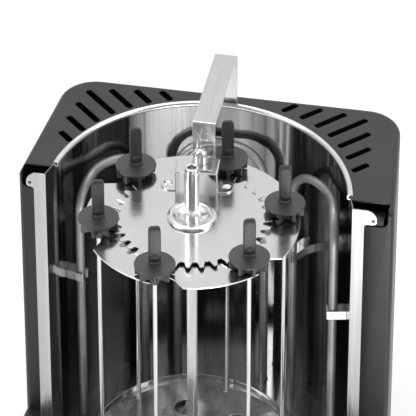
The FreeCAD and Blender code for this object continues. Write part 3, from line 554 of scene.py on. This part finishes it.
# ---------------------------------------------------------------- hub
def build_hub():
    """Bearing tube in its round foot, with a bored top and three webs in the foot's well."""
    bm = bmesh.new()
    bore = [(2.35, 0.0), (2.35, 38.0), (3.2, 38.0), (3.2, 47.5)]
    tip = [(3.6, 47.9), (4.2, 48.0), (4.8, 47.8), (5.2, 47.2), (5.2, 44.0), (5.9, 43.0)]
    well = [(5.9, 2.2), (6.6, 1.3), (11.5, 1.2), (13.4, 2.2), (14.2, 2.8), (15.3, 3.0)]
    rim = [(16.6, 2.9), (17.8, 2.5), (18.6, 1.9), (19.0, 1.2), (18.7, 0.6), (18.3, 0.0)]
    profile = bore + tip + well + rim
    lathe(bm, [(r * MM, SUN_TOP + z * MM) for r, z in profile], HUB, 96, 0, 360, True)
    finish_mesh("hub_bell", bm, CHROME, "oven", ["hub_tube"], 32.0, 0, 2)
    bm = bmesh.new()
    for i in range(3):
        verts = extrude(bm, [(5.2 * MM, -0.9 * MM), (13.4 * MM, -0.9 * MM), (13.4 * MM, 0.9 * MM),
                             (5.2 * MM, 0.9 * MM)], SUN_TOP + 1.0 * MM, SUN_TOP + 2.6 * MM)
        place(verts, Matrix.Translation(HUB) @ Matrix.Rotation(math.radians(30 + 120 * i), 4, "Z"))
    finish_mesh("hub_webs", bm, CHROME, "oven", [], 30.0, 0.25 * MM, 2)


build_reflector()
build_bead()
build_heaters()
for k in range(6):
    build_skewer(k)
build_hub()
SKINS = (
    (PLATE_STEEL, 0.25, ("sun_gear", "carrier_disc", "saddle")),
    (STRIP_STEEL, 0.2, ("front_strip_left", "front_strip_right", "lower_disc", "drip_tray")),
    (CHROME, 0.2, ("saddle_rivets", "locating_peg")),
    (BRUSHED, 0.35, ("arm", "control_panel", "chamber_floor", "heater_clips")),
    (ROD_STEEL, 0.3, ("spindle", "disc_hub", "tip_sockets")),
    (ZINC, 0.3, ("drive_coupler", "drive_motor", "motor_bracket", "arm_socket", "timer_unit",
                 "timer_shaft", "thermal_cutout", "housing_screws")),
    (BLACK_SHEET, 0.3, ("housing_shell", "top_plate", "base_plate")),
    (BLACK_BASE, 0.4, ("base_housing", "hinge_block_left", "hinge_block_right")),
    (KNOB_PLASTIC, 0.5, ("timer_knob", "rocker_frame", "power_rocker")),
    (RUBBER, 0.5, ("foot_1", "foot_2", "foot_3", "foot_4", "cord_gland")),
    (CERAMIC, 0.3, ("heater_terminals", "terminal_block")),
    (LAMP, 0.2, ("indicator_lamp",)),
)
for skin_mat, edge, names in SKINS:
    for n in names:
        refine(n, skin_mat, edge * MM)


# ---------------------------------------------------------------- stage, light and camera
def build_floor():
    """Round pale studio floor."""
    bm = bmesh.new()
    lathe(bm, [(0.001, 0.0), (1.0, 0.0), (3.0, 0.0), (8.0, 0.0)], (0, 0, -0.0005), 64)
    mesh = bpy.data.meshes.new("studio_floor")
    bm.to_mesh(mesh)
    bm.free()
    mat, tree, sh = new_material("studio_floor", (0.93, 0.93, 0.93), 0.9)
    tree.links.new(ramp(tree, noise(tree, 3.0), 0.92, 0.94), sh.inputs["Base Color"])
    mesh.materials.append(mat)
    obj = bpy.data.objects.new("studio_floor", mesh)
    bpy.context.scene.collection.objects.link(obj)


def area_light(name, where, target, size, power):
    data = bpy.data.lights.new(name, "AREA")
    data.shape = "RECTANGLE"
    data.size, data.size_y = size
    data.energy = power
    obj = bpy.data.objects.new(name, data)
    bpy.context.scene.collection.objects.link(obj)
    obj.location = where
    obj.rotation_euler = (Vector(target) - Vector(where)).to_track_quat("-Z", "Y").to_euler()
    return obj


def build_light():
    """Soft surroundings, brighter behind and overhead, and the area lights."""
    world = bpy.data.worlds.new("studio")
    bpy.context.scene.world = world
    world.use_nodes = True
    tree = world.node_tree
    parts = node(tree, "ShaderNodeSeparateXYZ")
    tree.links.new(node(tree, "ShaderNodeTexCoord").outputs["Generated"], parts.inputs[0])
    half = node(tree, "ShaderNodeMath", operation="MULTIPLY_ADD")
    half.inputs[1].default_value = 0.5
    half.inputs[2].default_value = 0.5
    tree.links.new(parts.outputs["Y"], half.inputs[0])
    sky = ramp(tree, half.outputs[0], 0.3, 0.84, 0.25, 0.8)
    zenith = ramp(tree, parts.outputs["Z"], 0.0, 0.95, 0.72, 0.93)
    both = node(tree, "ShaderNodeMixRGB", blend_type="LIGHTEN", Fac=1.0)
    tree.links.new(sky, both.inputs[1])
    tree.links.new(zenith, both.inputs[2])
    tree.links.new(both.outputs["Color"], tree.nodes["Background"].inputs["Color"])
    lamps = {name: area_light(name, *values) for name, *values in LIGHTS}
    lamps["low"].visible_camera = False


def build_camera():
    """Long lens from the front right, above the rim."""
    azimuth = math.radians(CAMERA_AZIMUTH)
    elevation = math.radians(CAMERA_ELEVATION)
    back = Vector((math.sin(azimuth) * math.cos(elevation),
                   -math.cos(azimuth) * math.cos(elevation), math.sin(elevation)))
    data = bpy.data.cameras.new("camera")
    data.sensor_width = 36.0
    data.lens = CAMERA_LENS
    data.clip_end = 50.0
    obj = bpy.data.objects.new("camera", data)
    bpy.context.scene.collection.objects.link(obj)
    obj.location = CAMERA_TARGET + CAMERA_DISTANCE * back
    obj.rotation_euler = (-back).to_track_quat("-Z", "Y").to_euler()
    bpy.context.scene.camera = obj


build_floor()
build_light()
build_camera()
bpy.context.scene.view_settings.view_transform = "Standard"
